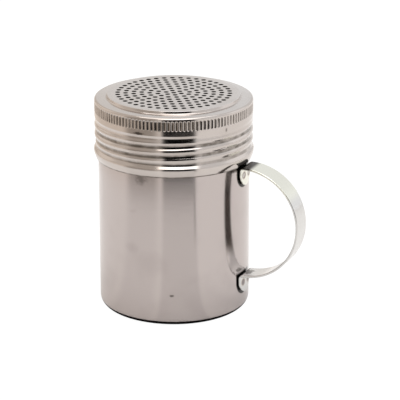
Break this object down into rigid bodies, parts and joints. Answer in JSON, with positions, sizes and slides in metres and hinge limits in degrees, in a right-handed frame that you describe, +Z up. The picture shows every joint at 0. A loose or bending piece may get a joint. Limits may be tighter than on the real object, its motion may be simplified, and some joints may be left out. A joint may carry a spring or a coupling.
{
  "type": "spice shaker",
  "caption": "Stainless counter shaker: drawn cup with a strap handle and a screw lid with a perforated top, for sprinkling spice, sugar or flour.",
  "frame": {"origin": "centre of the cup's flat base, on the surface that it stands on", "axes": "+Z up along the axis of the cup and of the lid's thread, +X towards the handle"},
  "size_m": [0.0942, 0.0692, 0.0953],
  "materials": {
    "satin_steel": "satin",
    "bright_steel": "polished",
    "wire_steel": "drawn wire",
    "weld_steel": "dull"
  },
  "bodies": {
    "cup_and_handle": {"cup": "satin_steel", "handle_strap": "bright_steel", "weld_upper_left": "weld_steel", "weld_upper_right": "weld_steel", "weld_lower_left": "weld_steel", "weld_lower_right": "weld_steel"},
    "lid_carrier": {"lid_hem_wire": "wire_steel"},
    "screw_lid": {"lid": "bright_steel"}
  },
  "joints": [
    {"name": "lid_rise", "type": "slide", "parent": "cup_and_handle", "child": "lid_carrier", "axis": [0, 0, 1], "range_m": [0, 0.0294]},
    {"name": "lid_turn", "type": "hinge", "parent": "lid_carrier", "child": "screw_lid", "pos_m": [0, 0, 0.0812], "axis": [0, 0, 1], "range_deg": [0, 2520]}
  ],
  "couplings": [
    {"joint": "lid_rise", "follows": "lid_turn", "m_per_rad": 0.00066845}
  ]
}
